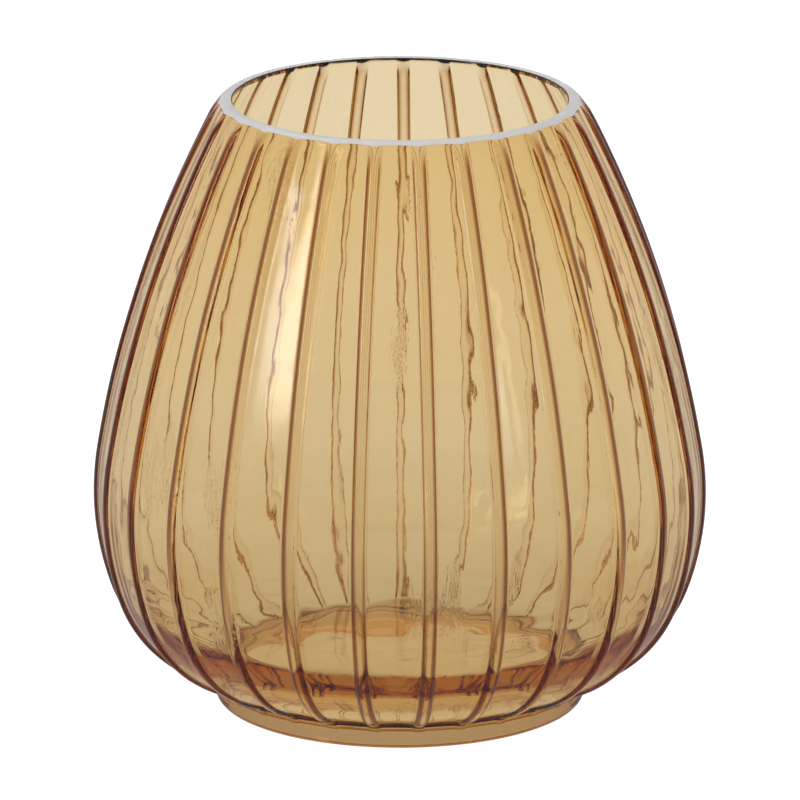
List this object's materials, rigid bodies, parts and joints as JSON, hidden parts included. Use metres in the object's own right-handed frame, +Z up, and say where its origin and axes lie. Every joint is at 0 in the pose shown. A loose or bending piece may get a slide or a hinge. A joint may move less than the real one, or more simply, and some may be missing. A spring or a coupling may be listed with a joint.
{
  "type": "vase",
  "caption": "Wide-mouthed round-bellied glass vase with vertical moulded ribs, a ground level lip and a smooth round foot pad.",
  "frame": {"origin": "centre of the resting face under the foot pad", "axes": "+Z up along the vase's axis, -Y towards the front seen in the picture, +X to the right"},
  "size_m": [0.2375, 0.2374, 0.24],
  "materials": {
    "amber_glass": "clear amber glass, fire-polished",
    "rib_glass": "clear amber glass, deeper where it is thick",
    "foot_glass": "clear amber glass, deeper where it is thick",
    "ground_glass": "ground matt and pale"
  },
  "bodies": {
    "root": {"bowl_wall": "amber_glass", "optic_ribs": "rib_glass", "bowl_floor": "amber_glass", "foot_pad": "foot_glass", "ground_lip": "ground_glass"}
  },
  "joints": []
}
